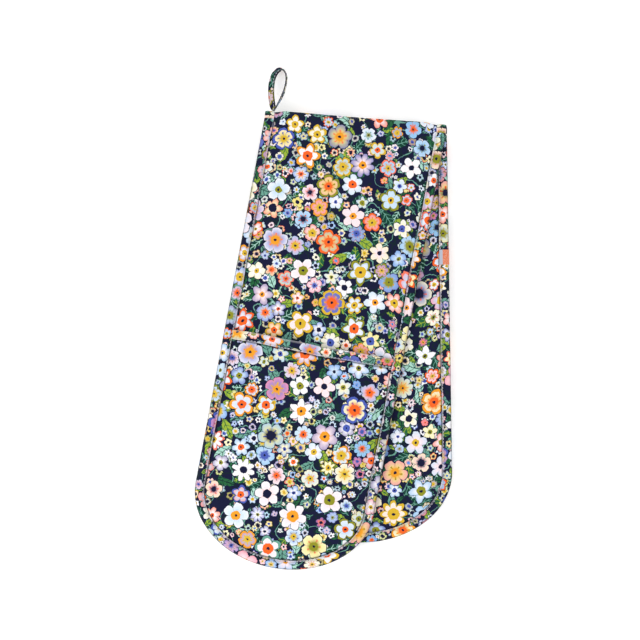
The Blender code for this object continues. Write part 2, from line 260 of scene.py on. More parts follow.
def addSheet(name, parts, material):
    # each part is two grids with the same layout, closed by rims where it says: ends, edge and middle
    points, faces, maps, paintedLightValues, first = [], [], [], [], 0
    for top, bottom, uv, paintedLight, rims in parts:
        rows, columns = top.shape[:2]
        count = rows * columns
        index = first + np.arange(count).reshape(rows, columns)
        sides = {"start": index[0], "end": index[-1], "edge": index[:, 0], "middle": index[:, -1]}
        faces += [gridFaces(rows, columns, first), gridFaces(rows, columns, first + count)[:, ::-1]]
        faces += [ribbonFaces(sides[rim], sides[rim] + count) for rim in rims]
        points += [top.reshape(-1, 3), bottom.reshape(-1, 3)]
        maps += [uv.reshape(-1, 2)] * 2
        paintedLightValues += [paintedLight.ravel()] * 2
        first += 2 * count
    return addPiece(name, np.vstack(points), np.vstack(faces), np.vstack(maps), material,
                    np.concatenate(paintedLightValues))


def addTube(name, rings, uv, material, paintedLight=None):
    # closed profiles carried along a path, with a flat face at each end
    rows, columns = rings.shape[:2]
    index = np.arange(rows * columns).reshape(rows, columns)
    index = np.hstack([index, index[:, :1]])
    corners = [index[:-1, :-1], index[1:, :-1], index[1:, 1:], index[:-1, 1:]]
    faces = np.stack(corners, -1).reshape(-1, 4).tolist()
    faces += [index[0, :-1][::-1].tolist(), index[-1, :-1].tolist()]
    return addPiece(name, rings.reshape(-1, 3), np.array(faces, object), uv.reshape(-1, 2), material, paintedLight)


def addNode(tree, kind, values=(), stops=(), **settings):
    # adds a node, sets it, fills or links its inputs in order or by name, and gives back its outputs
    node = tree.nodes.new("ShaderNode" + kind)
    for name, value in settings.items():
        setattr(node, name, value)
    pairs = values.items() if isinstance(values, dict) else enumerate(values)
    for key, value in pairs:
        if isinstance(value, bpy.types.NodeSocket):
            tree.links.new(value, node.inputs[key])
        elif value is not None:
            node.inputs[key].default_value = value
    if stops:
        ramp = node.color_ramp
        ramp.interpolation = "CONSTANT"
        while len(ramp.elements) < len(stops):
            ramp.elements.new(0.5)
        for element, (position, color) in zip(ramp.elements, stops):
            element.position = position
        for element, (position, color) in zip(ramp.elements, stops):
            element.color = linear(color)
    return node.outputs


def evenStops(names):
    # one constant stop for each ink, an ink named twice being twice as common
    return [(i / len(names), inks[name]) for i, name in enumerate(names)]


def newMaterial(name):
    material = bpy.data.materials.new(name)
    material.use_nodes = True
    return material, material.node_tree, material.node_tree.nodes["Principled BSDF"]


inks = {
    "navy": "#121636", "night": "#0e202a", "white": "#f0eff3", "blush": "#f6e0e4", "cream": "#f3ecc2",
    "lemon": "#eadd84", "mustard": "#d8b132", "amber": "#eb9c2b", "orange": "#ee6526", "coral": "#f17a63",
    "pink": "#ee93a8", "rose": "#f0b3c0", "sky": "#93c1e8", "ice": "#c6dcf1", "blue": "#6797db",
    "iris": "#4a5cb0", "violet": "#7b82ca", "mauve": "#8f86b4", "plum": "#54263f", "olive": "#8c8c26",
    "mint": "#a6d3c4", "sage": "#679d8d", "leaf": "#24603a", "forest": "#0f3f31", "lime": "#94ad38",
}

# Each layer of flowers: how far apart they stand, their radius, how many there are, and their inks. The first
# lies under all the rest, whatever room they leave it.
flowerLayers = [
    {"cell": 8.8, "jitter": 0.6, "turn": 2.0, "low": 3.0, "high": 4.4, "share": 0.5, "alone": True,
     "petals": ["white", "sky", "cream", "leaf", "coral", "sage", "iris", "white", "lime", "rose", "mustard",
                "blue", "forest", "violet", "cream", "mint"],
     "tints": ["white", "ice", "cream", "lemon", "blush"], "hearts": ["navy", "mustard", "iris", "navy"],
     "halo": 0.5},
    {"cell": 7.4, "jitter": 0.62, "turn": 0.5, "low": 2.6, "high": 3.8, "share": 0.82,
     "petals": ["white", "white", "white", "cream", "white", "cream", "blush", "sky", "rose", "white",
                "lemon", "coral", "blue"],
     "tints": ["white", "ice", "cream", "blush"],
     "hearts": ["navy", "navy", "iris", "mustard", "navy", "plum"], "halo": 0.5},
    {"cell": 11.8, "jitter": 0.55, "turn": 1.1, "low": 4.1, "high": 6.1, "share": 0.95,
     "petals": ["white", "cream", "blue", "lemon", "coral", "sky", "orange", "white", "ice", "violet",
                "cream", "blue", "mustard", "ice", "iris", "mauve", "rose", "blue"],
     "tints": ["white", "lemon", "coral", "ice", "blush", "pink", "sky", "mustard"],
     "hearts": ["mustard", "navy", "iris", "olive", "blue", "orange", "mustard"], "halo": 0.6},
    {"cell": 20.5, "jitter": 0.42, "turn": 2.3, "low": 7.4, "high": 10.4, "share": 0.95,
     "petals": ["white", "sky", "cream", "pink", "iris", "lemon", "white", "coral", "blue", "ice", "violet",
                "cream", "ice", "orange", "mauve", "white", "sky", "coral"],
     "tints": ["cream", "white", "ice", "white", "rose", "sky", "ice"],
     "hearts": ["mustard", "orange", "iris", "olive", "mustard", "navy", "orange"], "halo": 0.7},
    {"cell": 39.0, "jitter": 0.4, "turn": 0.9, "low": 10.0, "high": 14.0, "share": 0.85,
     "petals": ["white", "blush", "mauve", "white", "iris", "sky", "cream", "pink", "white", "ice"],
     "tints": ["white", "blush", "ice", "lemon", "violet"],
     "hearts": ["orange", "mustard", "navy", "amber", "olive"], "halo": 0.8},
]
for layer in flowerLayers:
    layer["trims"] = ["orange", "mustard", "iris", "coral", "olive", "amber", "sage"]
    layer["outlined"] = 0.3 if layer["cell"] > 20 else 0.12     # share of flowers with a coloured outline
    layer["heart"] = 0.3 if layer["cell"] > 10 else 0.34        # size of the heart to the flower's radius
flowerRoom = 1.35           # a flower may overlap its neighbour above by about a third


def layerCell(tree, layer, point):
    # the nearest flower centre to a point: its distance in mm, its place, and its three random numbers
    cell = addNode(tree, "TexVoronoi", {"Vector": point, "Scale": 1 / layer["cell"],
                                        "Randomness": layer["jitter"]}, voronoi_dimensions="2D")
    rgb = addNode(tree, "SeparateColor", [cell["Color"]])
    # radius = low + (high - low) * random, or nothing where the random number is over the share
    size = addNode(tree, "MapRange", [rgb[0], 0.0, layer["share"], layer["low"], layer["high"]], clamp=False)
    there = addNode(tree, "Math", [rgb[0], layer["share"]], operation="LESS_THAN")
    radius = addNode(tree, "Math", [size[0], there[0]], operation="MULTIPLY")
    away = addNode(tree, "Math", [cell["Distance"], layer["cell"]], operation="MULTIPLY")
    return {"cell": cell, "rgb": rgb, "radius": radius[0], "away": away[0]}


def layerPoint(tree, layer, point, back=1):
    # every layer has its own turn about its own centre, so that no two grids line up; -1 turns a point back
    return addNode(tree, "VectorRotate", {"Vector": point, "Center": (37.0 * layer["turn"], -21.0, 0.0),
                                          "Angle": back * layer["turn"]}, rotation_type="Z_AXIS")[0]


def drawFlowers(tree, layer, above, point, below):
    # one layer of flowers over the colour below; a flower is only as big as those above leave it room
    here = layerCell(tree, layer, layerPoint(tree, layer, point))
    centre = layerPoint(tree, layer, here["cell"]["Position"], -1)
    radius = here["radius"]
    for other in above:
        near = layerCell(tree, other, layerPoint(tree, other, centre))
        room = addNode(tree, "Math", [near["away"], near["radius"]], operation="SUBTRACT")[0]
        room = addNode(tree, "Math", [room, flowerRoom], operation="MULTIPLY")[0]
        radius = addNode(tree, "Math", [radius, room], operation="MINIMUM")[0]
    enough = addNode(tree, "Math", [radius, 0.72 * layer["low"]], operation="GREATER_THAN")[0]

    more = addNode(tree, "TexWhiteNoise", {"Vector": here["cell"]["Color"]}, noise_dimensions="3D")
    dice = addNode(tree, "SeparateColor", [more["Color"]])
    offset = addNode(tree, "VectorMath", [point, centre], operation="SUBTRACT")[0]
    xyz = addNode(tree, "SeparateXYZ", [offset])
    angle = addNode(tree, "Math", [xyz[1], xyz[0]], operation="ARCTAN2")[0]
    away = addNode(tree, "VectorMath", [offset], operation="LENGTH")["Value"]

    # petals: five, six or eight, from the turn round the centre
    six = addNode(tree, "Math", [dice[0], 0.74], operation="GREATER_THAN")[0]
    eight = addNode(tree, "Math", [dice[0], 0.88], operation="GREATER_THAN")[0]
    count = addNode(tree, "Math", [eight, 2.0, six], operation="MULTIPLY_ADD")[0]
    count = addNode(tree, "Math", [count, 5.0], operation="ADD")[0]
    turns = addNode(tree, "Math", [angle, 1 / (2 * math.pi), here["rgb"][1]], operation="MULTIPLY_ADD")[0]
    petal = addNode(tree, "Math", [turns, count], operation="MULTIPLY")[0]
    # 0 on a petal's middle, 1 between two
    petal = addNode(tree, "Math", [petal, 0.5], operation="PINGPONG")[0]
    petal = addNode(tree, "Math", [petal, 2.0], operation="MULTIPLY")[0]

    # outline = radius * (1 - notch * petal ^ roundness): pointed petals where the power is near 1
    style = addNode(tree, "Math", [dice[2], 5.7], operation="MULTIPLY")[0]
    style = addNode(tree, "Math", [style], operation="FRACT")[0]
    roundness = addNode(tree, "MapRange", [style, 0.0, 1.0, 1.2, 4.2])[0]
    notch = addNode(tree, "MapRange", [style, 0.0, 1.0, 0.5, 0.3])[0]
    lobe = addNode(tree, "Math", [petal, roundness], operation="POWER")[0]
    lobe = addNode(tree, "Math", [lobe, notch], operation="MULTIPLY")[0]
    lobe = addNode(tree, "Math", [1.0, lobe], operation="SUBTRACT")[0]
    outline = addNode(tree, "Math", [radius, lobe], operation="MULTIPLY")[0]
    share = addNode(tree, "Math", [away, radius], operation="DIVIDE")[0]
    edge = addNode(tree, "Math", [away, outline], operation="DIVIDE")[0]
    inside = addNode(tree, "Math", [edge, 1.0], operation="LESS_THAN")[0]
    inside = addNode(tree, "Math", [inside, enough], operation="MULTIPLY")[0]
    grown = addNode(tree, "Math", [outline, layer["halo"]], operation="ADD")[0]
    halo = addNode(tree, "Math", [away, grown], operation="LESS_THAN")[0]
    halo = addNode(tree, "Math", [halo, enough], operation="MULTIPLY")[0]

    petals = addNode(tree, "ValToRGB", [here["rgb"][2]], stops=evenStops(layer["petals"]))[0]
    tints = addNode(tree, "ValToRGB", [style], stops=evenStops(layer["tints"]))[0]
    hearts = addNode(tree, "ValToRGB", [dice[1]], stops=evenStops(layer["hearts"]))[0]
    trims = addNode(tree, "ValToRGB", [dice[2]], stops=evenStops(layer["trims"]))[0]

    toTip = addNode(tree, "MapRange", [edge, 0.35, 1.0, 0.0, 0.8])[0]
    color = addNode(tree, "Mix", {0: toTip, 6: tints, 7: petals}, data_type="RGBA")[2]
    # a coloured outline on some, a line between petals, rays up the petals, then the heart and its dot
    lined = addNode(tree, "Math", [dice[1], layer["outlined"]], operation="LESS_THAN")[0]
    band = addNode(tree, "Math", [edge, 0.8], operation="GREATER_THAN")[0]
    band = addNode(tree, "Math", [band, lined], operation="MULTIPLY")[0]
    color = addNode(tree, "Mix", {0: band, 6: color, 7: trims}, data_type="RGBA")[2]
    between = addNode(tree, "MapRange", [petal, 0.84, 0.97, 0.0, 0.4])[0]
    color = addNode(tree, "Mix", {0: between, 6: color, 7: trims}, data_type="RGBA")[2]
    rays = addNode(tree, "Math", [petal, 0.2], operation="LESS_THAN")[0]
    reach = addNode(tree, "Math", [share, 0.58], operation="LESS_THAN")[0]
    rays = addNode(tree, "Math", [rays, reach], operation="MULTIPLY")[0]
    rayed = addNode(tree, "Math", [style, 0.55], operation="GREATER_THAN")[0]
    rays = addNode(tree, "Math", [rays, rayed], operation="MULTIPLY")[0]
    color = addNode(tree, "Mix", {0: rays, 6: color, 7: trims}, data_type="RGBA")[2]
    heartSize = addNode(tree, "MapRange", [here["rgb"][0], 0.0, layer["share"], 0.72 * layer["heart"],
                                           1.45 * layer["heart"]])[0]
    glow = addNode(tree, "Math", [share, heartSize], operation="SUBTRACT")[0]
    glow = addNode(tree, "MapRange", [glow, 0.0, 0.24, 0.75, 0.0])[0]
    glow = addNode(tree, "Math", [glow, rayed], operation="MULTIPLY")[0]
    color = addNode(tree, "Mix", {0: glow, 6: color, 7: hearts}, data_type="RGBA")[2]
    heart = addNode(tree, "Math", [share, heartSize], operation="LESS_THAN")[0]
    color = addNode(tree, "Mix", {0: heart, 6: color, 7: hearts}, data_type="RGBA")[2]
    dot = addNode(tree, "Math", [share, 0.11], operation="LESS_THAN")[0]
    color = addNode(tree, "Mix", {0: dot, 6: color, 7: linear(inks["navy"])}, data_type="RGBA")[2]

    below = addNode(tree, "Mix", {0: halo, 6: below, 7: linear(inks["navy"])}, data_type="RGBA")[2]
    return addNode(tree, "Mix", {0: inside, 6: below, 7: color}, data_type="RGBA")[2]


leafLayers = [
    {"cell": 15.0, "jitter": 0.8, "turn": 2.9, "low": 5.0, "high": 7.5, "share": 0.8, "wide": 0.4,
     "vein": 1.7},
    {"cell": 21.0, "jitter": 0.7, "turn": 1.7, "low": 8.5, "high": 12.0, "share": 0.95, "wide": 0.42,
     "vein": 2.4},
]
leafInks = ("forest", "leaf", "mint", "forest", "lime", "leaf", "sage")
veinInks = ("sage", "lime", "forest", "mint", "leaf", "night", "night")


def drawLeaves(tree, layer, point, below):
    # pointed ovals at any angle with a midrib and slanting veins; half width = wide * length * (1 - x * x)
    here = layerCell(tree, layer, layerPoint(tree, layer, point))
    centre = layerPoint(tree, layer, here["cell"]["Position"], -1)
    offset = addNode(tree, "VectorMath", [point, centre], operation="SUBTRACT")[0]
    angle = addNode(tree, "Math", [here["rgb"][1], 2 * math.pi], operation="MULTIPLY")[0]
    turned = addNode(tree, "VectorRotate", {"Vector": offset, "Angle": angle}, rotation_type="Z_AXIS")[0]
    xyz = addNode(tree, "SeparateXYZ", [turned])
    side = addNode(tree, "Math", [xyz[1]], operation="ABSOLUTE")[0]
    x = addNode(tree, "Math", [xyz[0], here["radius"]], operation="DIVIDE")[0]
    x = addNode(tree, "Math", [x, x], operation="MULTIPLY")[0]
    half = addNode(tree, "Math", [1.0, x], operation="SUBTRACT")[0]
    half = addNode(tree, "Math", [half, here["radius"]], operation="MULTIPLY")[0]
    half = addNode(tree, "Math", [half, layer["wide"]], operation="MULTIPLY")[0]
    inside = addNode(tree, "Math", [side, half], operation="LESS_THAN")[0]
    color = addNode(tree, "ValToRGB", [here["rgb"][2]], stops=evenStops(leafInks))[0]
    veinColor = addNode(tree, "ValToRGB", [here["rgb"][2]], stops=evenStops(veinInks))[0]
    rib = addNode(tree, "Math", [side, 0.35], operation="LESS_THAN")[0]
    slant = addNode(tree, "Math", [side, -0.9, xyz[0]], operation="MULTIPLY_ADD")[0]
    slant = addNode(tree, "Math", [slant, layer["vein"]], operation="PINGPONG")[0]
    vein = addNode(tree, "Math", [slant, 0.36], operation="LESS_THAN")[0]
    vein = addNode(tree, "Math", [rib, vein], operation="MAXIMUM")[0]
    color = addNode(tree, "Mix", {0: vein, 6: color, 7: veinColor}, data_type="RGBA")[2]
    return addNode(tree, "Mix", {0: inside, 6: below, 7: color}, data_type="RGBA")[2]


def printedCotton():
    # cotton lawn, screen printed in some two dozen inks on navy: matt, with a dense scatter of small flowers
    material, tree, shader = newMaterial("printed cotton")
    # the UV map made millimetres of cloth
    point = addNode(tree, "UVMap", uv_map="cloth")[0]
    point = addNode(tree, "VectorMath", {0: point, 3: 1 / glove["uvScale"]}, operation="SCALE")[0]
    # petals are drawn by hand, so the pattern wavers by a few tenths of a millimetre
    waver = addNode(tree, "TexNoise", {"Vector": point, "Scale": 0.3, "Detail": 1.0}, noise_dimensions="2D")
    waver = addNode(tree, "VectorMath", [waver["Color"], (0.5, 0.5, 0.5)], operation="SUBTRACT")[0]
    waver = addNode(tree, "VectorMath", {0: waver, 3: 1.9}, operation="SCALE")[0]
    point = addNode(tree, "VectorMath", [point, waver], operation="ADD")[0]
    point = addNode(tree, "VectorMath", [point, (1.0, 1.0, 0.0)], operation="MULTIPLY")[0]

    ground = addNode(tree, "TexNoise", {"Vector": point, "Scale": 0.09, "Detail": 1.0},
                     noise_dimensions="2D")[0]
    color = addNode(tree, "ValToRGB", [ground], stops=[(0.0, inks["navy"]), (0.55, inks["night"]),
                                                       (0.66, inks["navy"])])[0]
    stem = addNode(tree, "TexNoise", {"Vector": point, "Scale": 0.035, "Detail": 0.5},
                   noise_dimensions="2D")[0]
    stem = addNode(tree, "Math", [stem, 0.5, 0.008], operation="COMPARE")[0]
    color = addNode(tree, "Mix", {0: stem, 6: color, 7: linear(inks["sage"])}, data_type="RGBA")[2]
    for layer in leafLayers:
        color = drawLeaves(tree, layer, point, color)
    for i, layer in enumerate(flowerLayers):
        above = [] if layer.get("alone") else flowerLayers[i + 1:]
        color = drawFlowers(tree, layer, above, point, color)

    # plain weave, about 0.9 mm so that it can show; real lawn has some 35 threads to a centimetre
    weave = addNode(tree, "VectorMath", {0: point, 3: 2 * math.pi / 0.9}, operation="SCALE")[0]
    weave = addNode(tree, "VectorMath", [weave], operation="SINE")[0]
    weave = addNode(tree, "SeparateXYZ", [weave])
    thread = addNode(tree, "Math", [weave[0], weave[1]], operation="MULTIPLY")[0]
    slub = addNode(tree, "TexNoise", {"Vector": point, "Scale": 0.55, "Detail": 3.0},
                   noise_dimensions="2D")[0]
    height = addNode(tree, "Math", [thread, 0.3, slub], operation="MULTIPLY_ADD")[0]
    bump = addNode(tree, "Bump", {"Strength": 0.35, "Distance": 0.0002, "Height": height})[0]
    toneAndPaintedShade = addNode(tree, "MapRange", [slub, 0.25, 0.75, 0.93, 1.05])[0]
    # above 0 a painted highlight, mixed toward pale grey along turned edges; below 0 painted shade, darkening
    # seams and the turns of tapes
    paintedLight = addNode(tree, "Attribute", attribute_name="paintedLight")["Fac"]
    paintedHighlight = addNode(tree, "Math", [paintedLight, 0.0], operation="MAXIMUM")[0]
    color = addNode(tree, "Mix", {0: paintedHighlight, 6: color, 7: linear("#e6e4ec")}, data_type="RGBA")[2]
    paintedShade = addNode(tree, "Math", [paintedLight, 0.0], operation="MINIMUM")[0]
    paintedShade = addNode(tree, "Math", [paintedShade, 1.0], operation="ADD")[0]
    toneAndPaintedShade = addNode(tree, "Math", [toneAndPaintedShade, paintedShade], operation="MULTIPLY")[0]
    color = addNode(tree, "VectorMath", {0: color, 3: toneAndPaintedShade}, operation="SCALE")[0]
    tree.links.new(color, shader.inputs["Base Color"])
    tree.links.new(bump, shader.inputs["Normal"])
    shader.inputs["Roughness"].default_value = 0.88
    shader.inputs["Specular IOR Level"].default_value = 0.15
    shader.inputs["Sheen Weight"].default_value = 0.03
    return material


def plainCloth(name, light, dark, spacing, strength, sheen=0.0):
    # woven or needled fibre in one colour: two crossed thread waves and a little fuzz
    material, tree, shader = newMaterial(name)
    point = addNode(tree, "UVMap", uv_map="cloth")[0]
    point = addNode(tree, "VectorMath", {0: point, 3: 1 / glove["uvScale"]}, operation="SCALE")[0]
    weave = addNode(tree, "VectorMath", {0: point, 3: 2 * math.pi / spacing}, operation="SCALE")[0]
    weave = addNode(tree, "VectorMath", [weave], operation="SINE")[0]
    weave = addNode(tree, "SeparateXYZ", [weave])
    thread = addNode(tree, "Math", [weave[0], weave[1]], operation="MULTIPLY")[0]
    fuzz = addNode(tree, "TexNoise", {"Vector": point, "Scale": 0.8, "Detail": 4.0}, noise_dimensions="2D")[0]
    height = addNode(tree, "Math", [thread, 0.4, fuzz], operation="MULTIPLY_ADD")[0]
    blend = addNode(tree, "MapRange", [height, 0.1, 0.9, 0.0, 1.0])[0]
    color = addNode(tree, "Mix", {0: blend, 6: linear(dark), 7: linear(light)}, data_type="RGBA")[2]
    bump = addNode(tree, "Bump", {"Strength": strength, "Distance": 0.0004, "Height": height})[0]
    tree.links.new(color, shader.inputs["Base Color"])
    tree.links.new(bump, shader.inputs["Normal"])
    shader.inputs["Roughness"].default_value = 0.92
    shader.inputs["Sheen Weight"].default_value = sheen
    return material


tag = {"start": 132.0, "length": 15.0, "leg": 10.0, "hiddenLeg": 6.5, "cloth": 0.4, "stripe": 3.3,
       "turnRadius": 3.5, "legRows": 8}


def wovenTag():
    # jacquard-woven label of polyester thread: fine ribs, a slight shine, one pale stripe by its end
    material, tree, shader = newMaterial("woven polyester label")
    point = addNode(tree, "UVMap", uv_map="cloth")[0]
    point = addNode(tree, "VectorMath", {0: point, 3: 1 / glove["uvScale"]}, operation="SCALE")[0]
    xyz = addNode(tree, "SeparateXYZ", [point])
    stripe = addNode(tree, "Math", [xyz[0], tag["stripe"]], operation="LESS_THAN")[0]
    rib = addNode(tree, "Math", [xyz[1], 2 * math.pi / 0.8], operation="MULTIPLY")[0]
    rib = addNode(tree, "Math", [rib], operation="SINE")[0]
    shade = addNode(tree, "MapRange", [rib, -1.0, 1.0, 0.0, 0.28])[0]
    # a little pale weft shows through the orange
    weft = addNode(tree, "TexNoise", {"Vector": point, "Scale": 0.8, "Detail": 2.0}, noise_dimensions="2D")[0]
    weft = addNode(tree, "MapRange", [weft, 0.48, 0.62, 0.0, 0.45])[0]
    orange = addNode(tree, "Mix", {0: weft, 6: linear("#e9743f"), 7: linear("#f7d3c0")}, data_type="RGBA")[2]
    color = addNode(tree, "Mix", {0: stripe, 6: orange, 7: linear("#b9c4d6")}, data_type="RGBA")[2]
    color = addNode(tree, "Mix", {0: shade, 6: color, 7: linear("#8d5a55")}, data_type="RGBA")[2]
    bump = addNode(tree, "Bump", {"Strength": 0.5, "Distance": 0.0002, "Height": rib})[0]
    tree.links.new(color, shader.inputs["Base Color"])
    tree.links.new(bump, shader.inputs["Normal"])
    shader.inputs["Roughness"].default_value = 0.55
    return material


cotton = printedCotton()
lining = plainCloth("plain calico", "#e9e2d2", "#cfc5b0", 0.9, 0.4)
batting = plainCloth("needled polyester wadding", "#f3f1ec", "#d9d6cf", 3.1, 0.9, 0.2)
threadFinish = plainCloth("spun polyester thread", "#d9d5df", "#a8a3b5", 0.7, 0.3)
tagCloth = wovenTag()
print("materials ready")


# The strip: two cloths with wadding between, in one length from tip to tip round the fold
strip = {"step": 3.0, "waddingStep": 5.0, "turns": 15, "clothInset": 0.9, "waddingInset": 1.5, "gap": 0.15,
         "faceReach": 4.2, "backReach": 0.34, "waddingReach": 1.0, "fill": 0.55}


def foldBulge(across):
    # the roll is fuller towards the side where the two halves part, rising evenly from the crest's middle
    return glove["foldBulge"] + glove["foldSpread"] * np.clip(across / glove["spreadOver"], 0, 1)


def seamShade(half, s, r):
    # below 0 where the cloth lies in the shadow of a seam: a bell across the binding's inner edge
    d = edgeDistance(half, s, r)
    return -glove["seamShade"] * np.exp(-((d - 9.9) / 0.75) ** 2) * smooth((s - 8) / 10)


def stripLayer(side, inset, heights, step):
    # grids of one side of a layer from the rear tip, half round the fold axis, to the front tip
    grids, maps, shades = [], [], []
    for half in (front, rear):
        s, r = halfGrid(half, side, inset, step)
        h = heights(half, s, r)
        start = glove["faceHeight"] / -(half["along"] @ outward)
        run = s - start + h[:1] * math.pi / 2
        grids.append(place(half, s, r, h))
        maps.append(np.stack([r, half["side"] * run], -1))
        shades.append(seamShade(half, s, r))
    r = halfGrid(front, side, inset, step)[1][0]
    turn = np.linspace(0, math.pi, strip["turns"])[1:-1, None]
    mix = turn / math.pi
    radius = heights(rear, foldStart(rear, r), r) * (1 - mix) + heights(front, foldStart(front, r), r) * mix
    lead = smooth(mix / glove["foldLead"])
    across = alongCrest(rear, r) * (1 - lead) + alongCrest(front, r) * lead
    ahead = radius * np.sin(turn) * foldBulge(across)
    arc = foldAt + across[..., None] * crest + ahead[..., None] * outward
    arc = arc - (radius * np.cos(turn))[..., None] * up
    arcMap = maps[1][0] * (1 - mix[..., None]) + maps[0][0] * mix[..., None]
    points = np.vstack([grids[1][::-1], arc, grids[0]])
    shade = np.vstack([shades[1][::-1], 0 * arc[..., 0], shades[0]])
    return points, np.vstack([maps[1][::-1], arcMap, maps[0]]), shade


def addStripLayer(name, inset, upper, lower, step, material, turned=None):
    # both sides of the strip in one mesh; they meet on the middle line, so only the outer edge has a rim
    parts = []
    for side in (-1, 1):
        top, flat, shade = stripLayer(side, inset, upper, step)
        bottom = stripLayer(side, inset, lower, step)[0]
        if turned is not None:
            flat = flat * (1.0, -1.0) + turned
        parts.append((top, bottom, flat, shade, ("edge",)))
    return addSheet(name, parts, material)


def foldBlend(piece):
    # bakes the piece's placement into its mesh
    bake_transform(piece)


def faceUnder(half, s, r):
    return faceTop(half, s, r) - glove["cloth"]


def backUnder(half, s, r):
    return backTop(half, s, r) + glove["cloth"]


inset, step, gap = strip["clothInset"], strip["step"], strip["gap"]
faceCloth = addStripLayer("strip_face_cloth", inset, faceTop, faceUnder, step, cotton)
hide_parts("rear_face_fabric", "fold_face_fabric", "front_face_fabric")
foldBlend(faceCloth)

backCloth = addStripLayer("strip_back_cloth", inset, backUnder, backTop, step, cotton, turned=cutAt["back"])
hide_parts("rear_back_fabric", "fold_back_fabric", "front_back_fabric")
foldBlend(backCloth)

stripBatting = addStripLayer("strip_batting", strip["waddingInset"],
                             lambda half, s, r: faceUnder(half, s, r) - gap,
                             lambda half, s, r: backUnder(half, s, r) + gap, strip["waddingStep"], batting)
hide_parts("rear_wadding", "fold_wadding", "front_wadding")
foldBlend(stripBatting)
print("strip ready")


# The binding: a bias strip folded over the raw edges, its own edges turned under. Its profile is
# (distance from the outline, height), outside first and then back along the inside
bindingProfile = np.array([
    (9.5, 1.75), (9.1, 0.95), (8.5, 1.1), (7.4, 0.7), (5.5, 0.45), (3.2, 0.42), (1.5, 0.8), (0.45, 1.8),
    (0.05, 3.4), (0.4, 5.0), (1.4, 6.2), (3.1, 6.8), (5.5, 6.85), (7.4, 6.4), (8.5, 6.05), (9.1, 6.25),
    (9.5, 5.5), (8.0, 5.35), (5.5, 5.9), (3.4, 6.0), (2.0, 5.5), (1.1, 4.7), (0.8, 3.4), (1.1, 2.2),
    (2.0, 1.5), (3.4, 1.2), (5.5, 1.25), (8.0, 1.7)])
binding = {"step": 2.5, "cutWidth": 24.0, "startAt": 0.5, "foldEnds": 0.4, "foldLength": 11.2,
           "foldRound": 1.9, "foldInset": 0.17, "middle": 3.4, "pocketLift": 2.3, "liftLength": 16.0,
           "stitchInset": 8.45, "stitchBegins": 14.0}


def edgePath(half, step, startAt=0.0):
    # stations along the outline from the fold, down the +r side, round the tip and back up the -r side
    straight = half["length"] - glove["endReach"]
    count = int((straight - startAt) / step)
    side = np.linspace(startAt, straight, count + 1)[:-1]
    turn = np.linspace(0, math.pi, 81)
    s = np.concatenate([side, np.full(len(turn), straight), side[::-1]])
    angle = np.concatenate([np.zeros(count), turn, np.full(count, math.pi)])
    return s, angle


def edgePoint(half, s, angle, distance):
    # s and r of a point that far in from the outline; sides near the fold turn to start on its axis
    wide, reach = glove["width"] / 2 - distance, glove["endReach"] - distance
    r = wide * np.cos(angle)
    skew = 1 - smooth(s / glove["skewLength"])
    start = foldStart(half, r) * skew
    return s + np.where(s < glove["skewLength"], start, 0) + reach * np.sin(angle), r


def pocketRise(half, s, d):
    # the binding climbs over the pocket's edge from the mouth on, least at its outer turn
    climb = smooth((s - half["mouth"] + 5) / binding["liftLength"])
    return binding["pocketLift"] * climb * smooth((d - 0.5) / 4)


def bindingHeight(half, s, r, d, h):
    # profile height plus short ripples, a slow swell and the climb over the pocket
    run = edgeRun(half, s, r) + 60 * (r > 0)
    ripple = 0.16 * np.sin(run * 2 * math.pi / 7.3 + 1.7 * np.sin(run / 31)) * smooth((d - 2) / 5)
    swell = 0.12 * np.sin(run / 26 + 1) * smooth(d / 3)
    quiet = smooth((s - 12) / 20)
    onFace = h > binding["middle"]
    added = np.where(onFace, pocketRise(half, s, d) + (ripple + swell + 0.15) * quiet,
                     np.maximum(ripple + swell, 0) * quiet)
    return h + added


def ringMap(run, profile, half):
    # tape cut on the bias, so its print stands at 45 degrees to the edge and starts elsewhere on the cloth
    steps = np.linalg.norm(np.diff(profile, axis=0), axis=1)
    width = np.concatenate([[0], np.cumsum(steps)])
    u = run[:, None] + 0 * width
    v = width[None] + 0 * run[:, None]
    alongCloth, acrossCloth = cutAt["tape"]
    return np.stack([(u - v) * 0.7071 + alongCloth + cutAt["tapeApart"] * half["side"],
                     (u + v) * 0.7071 + acrossCloth], -1)


def runLength(points):
    # length passed along the middle point of each ring
    middle = points[:, len(points[0]) // 2]
    return np.concatenate([[0], np.cumsum(np.linalg.norm(np.diff(middle, axis=0), axis=1))])


def tapePaintedLight(d):
    # painted highlight along its inner fold, painted shade at the stitching and round the outer turn
    return np.interp(d, [0.0, 0.5, 1.6, 5.5, 7.4, 8.5, 9.1, 9.5],
                     [-0.6, -0.5, 0.0, 0.0, -0.2, -0.35, 0.4, 0.4])


def edgeBinding(half):
    # the profile carried along the outline, wandering a little as a hand-guided tape does
    s, angle = edgePath(half, binding["step"], startAt=binding["startAt"])
    d, h = bindingProfile[:, 0], bindingProfile[:, 1]
    wander = 0.3 * np.sin(edgeRun(half, s, np.cos(angle)) / 17 + 3 * (angle > 1.5)) * smooth((s - 10) / 20)
    inward = d[None] + wander[:, None] * smooth((d[None] - 4) / 5)
    sp, rp = edgePoint(half, s[:, None], angle[:, None], inward)
    rings = place(half, sp, rp, bindingHeight(half, sp, rp, inward, h[None]))
    # painted shade and painted highlight across the tape, none near the fold
    paintedLightValues = tapePaintedLight(d)[None] * smooth(s / 12)[:, None]
    run = runLength(rings)
    piece = addTube(half["name"] + "_edge_tape", rings, ringMap(run, bindingProfile, half), cotton, paintedLightValues)
    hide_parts(half["name"] + "_edge_binding")
    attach(piece, half["body"])


